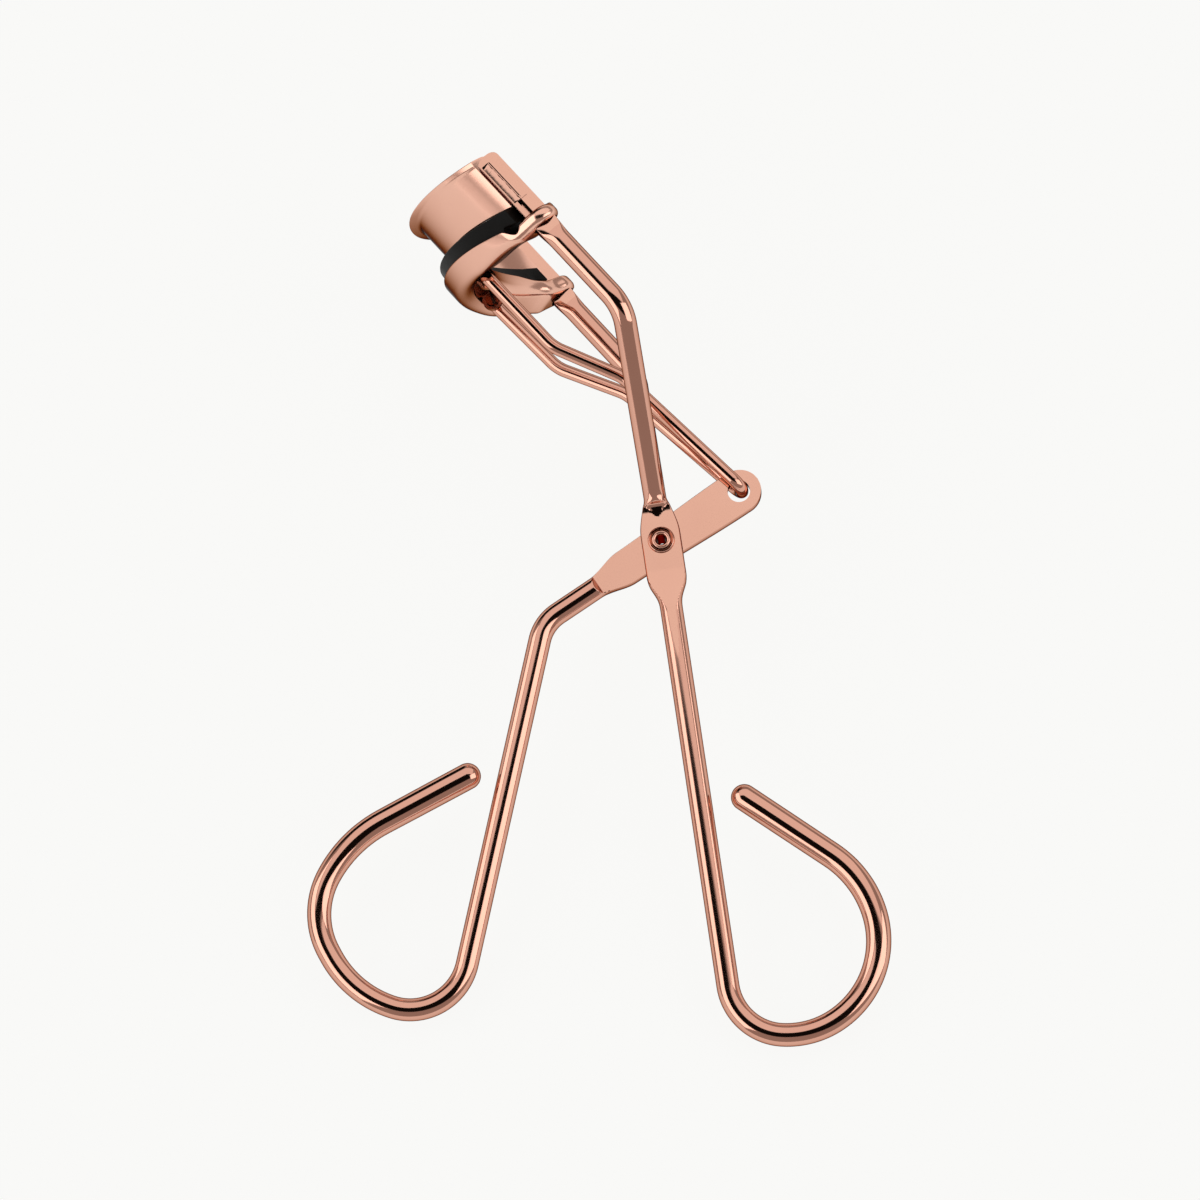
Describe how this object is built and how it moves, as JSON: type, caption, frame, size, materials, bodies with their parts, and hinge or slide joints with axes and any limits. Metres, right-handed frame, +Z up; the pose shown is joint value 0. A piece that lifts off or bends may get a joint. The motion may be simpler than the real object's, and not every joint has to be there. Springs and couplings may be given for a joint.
{
  "type": "eyelash curler",
  "caption": "Hand-held eyelash curler: bent-wire handles with finger loops, a fixed curved jaw on two rails, and a sliding jaw with a soft pad worked by a hairpin link.",
  "frame": {"origin": "centre of the footprint on the table, with the tool lying on both finger loops and the far ear of the sliding jaw", "axes": "+Y from the finger loops towards the jaws, +X to the right, +Z up off the table"},
  "size_m": [0.0662, 0.1016, 0.0361],
  "materials": {
    "rose_gold_polished": "polished rose-gold plating on steel wire",
    "rose_gold_satin": "satin rose-gold plating on pressed steel",
    "black_silicone": "matt silicone"
  },
  "bodies": {
    "frame": {"front_frame": "rose_gold_polished", "rear_frame": "rose_gold_polished", "upper_jaw": "rose_gold_satin", "pivot_rivet": "rose_gold_polished"},
    "lever": {"lever_handle": "rose_gold_polished"},
    "jaw": {"lower_jaw": "rose_gold_satin", "lash_pad": "black_silicone", "link_bracket": "rose_gold_satin"},
    "link": {"link_wire": "rose_gold_polished"}
  },
  "joints": [
    {"name": "lever_hinge", "type": "hinge", "parent": "frame", "child": "lever", "pos_m": [0.00734, 0.00663, 0.01171], "axis": [0.0215, -0.1858, 0.9823], "range_deg": [-35, 2]},
    {"name": "jaw_slide", "type": "slide", "parent": "frame", "child": "jaw", "axis": [-0.6656, 0.7305, 0.1528], "range_m": [-0.00565, 0.00034]},
    {"name": "link_hinge", "type": "hinge", "parent": "jaw", "child": "link", "pos_m": [-0.01266, 0.03654, 0.01781], "axis": [0.0215, -0.1858, 0.9823], "range_deg": [-4.2, 0.3]}
  ],
  "couplings": [
    {"joint": "jaw_slide", "follows": "lever_hinge", "m_per_rad": 0.009212},
    {"joint": "link_hinge", "follows": "lever_hinge", "ratio": 0.1158}
  ]
}
